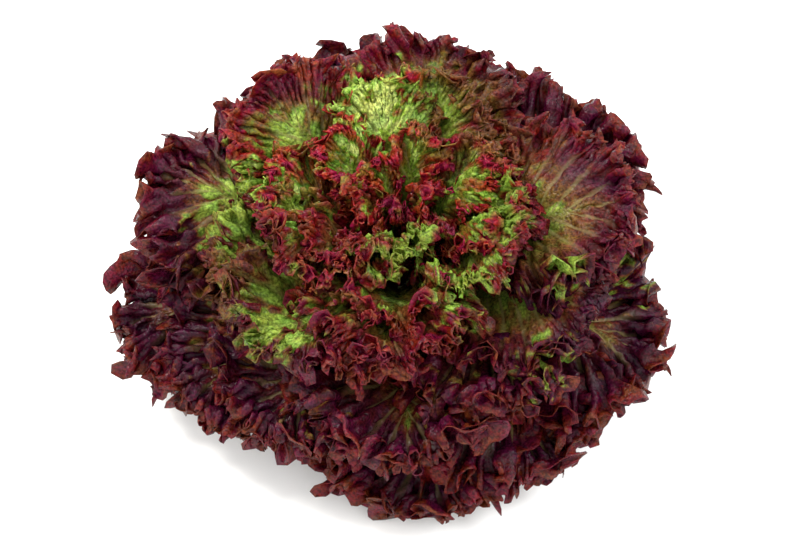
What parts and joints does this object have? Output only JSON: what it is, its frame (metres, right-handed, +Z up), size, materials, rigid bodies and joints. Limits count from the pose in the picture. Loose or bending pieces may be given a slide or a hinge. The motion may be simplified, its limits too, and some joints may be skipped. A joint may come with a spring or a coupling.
{
  "type": "lollo rosso lettuce",
  "caption": "Cut head of loose frilled lettuce: dark red crinkled leaves, green towards the middle, open heart, short cut stem.",
  "frame": {"origin": "middle of the stem's flat cut face, on the surface that the head stands on", "axes": "+Z up out of the heart; -Y is the side nearest the camera in the picture; +X is the picture's right"},
  "size_m": [0.2854, 0.2597, 0.124],
  "materials": {
    "red_leaf": "waxy leaf, dark red frills over olive green, satin",
    "heart_leaf": "young leaf, yellow green with red tips, satin",
    "stem_flesh": "cut stem, pale green cream, matte"
  },
  "bodies": {
    "root": {"stem": "stem_flesh", "leaf_01": "red_leaf", "leaf_02": "red_leaf", "leaf_03": "red_leaf", "leaf_04": "red_leaf", "leaf_05": "red_leaf", "leaf_06": "red_leaf", "leaf_07": "red_leaf", "leaf_08": "red_leaf", "leaf_09": "red_leaf", "leaf_10": "red_leaf", "leaf_11": "red_leaf", "leaf_12": "red_leaf", "leaf_13": "red_leaf", "leaf_14": "red_leaf", "leaf_15": "red_leaf", "leaf_16": "red_leaf", "leaf_17": "red_leaf", "leaf_18": "red_leaf", "leaf_19": "red_leaf", "leaf_20": "red_leaf", "leaf_21": "red_leaf", "leaf_22": "red_leaf", "heart": "heart_leaf"}
  },
  "joints": []
}
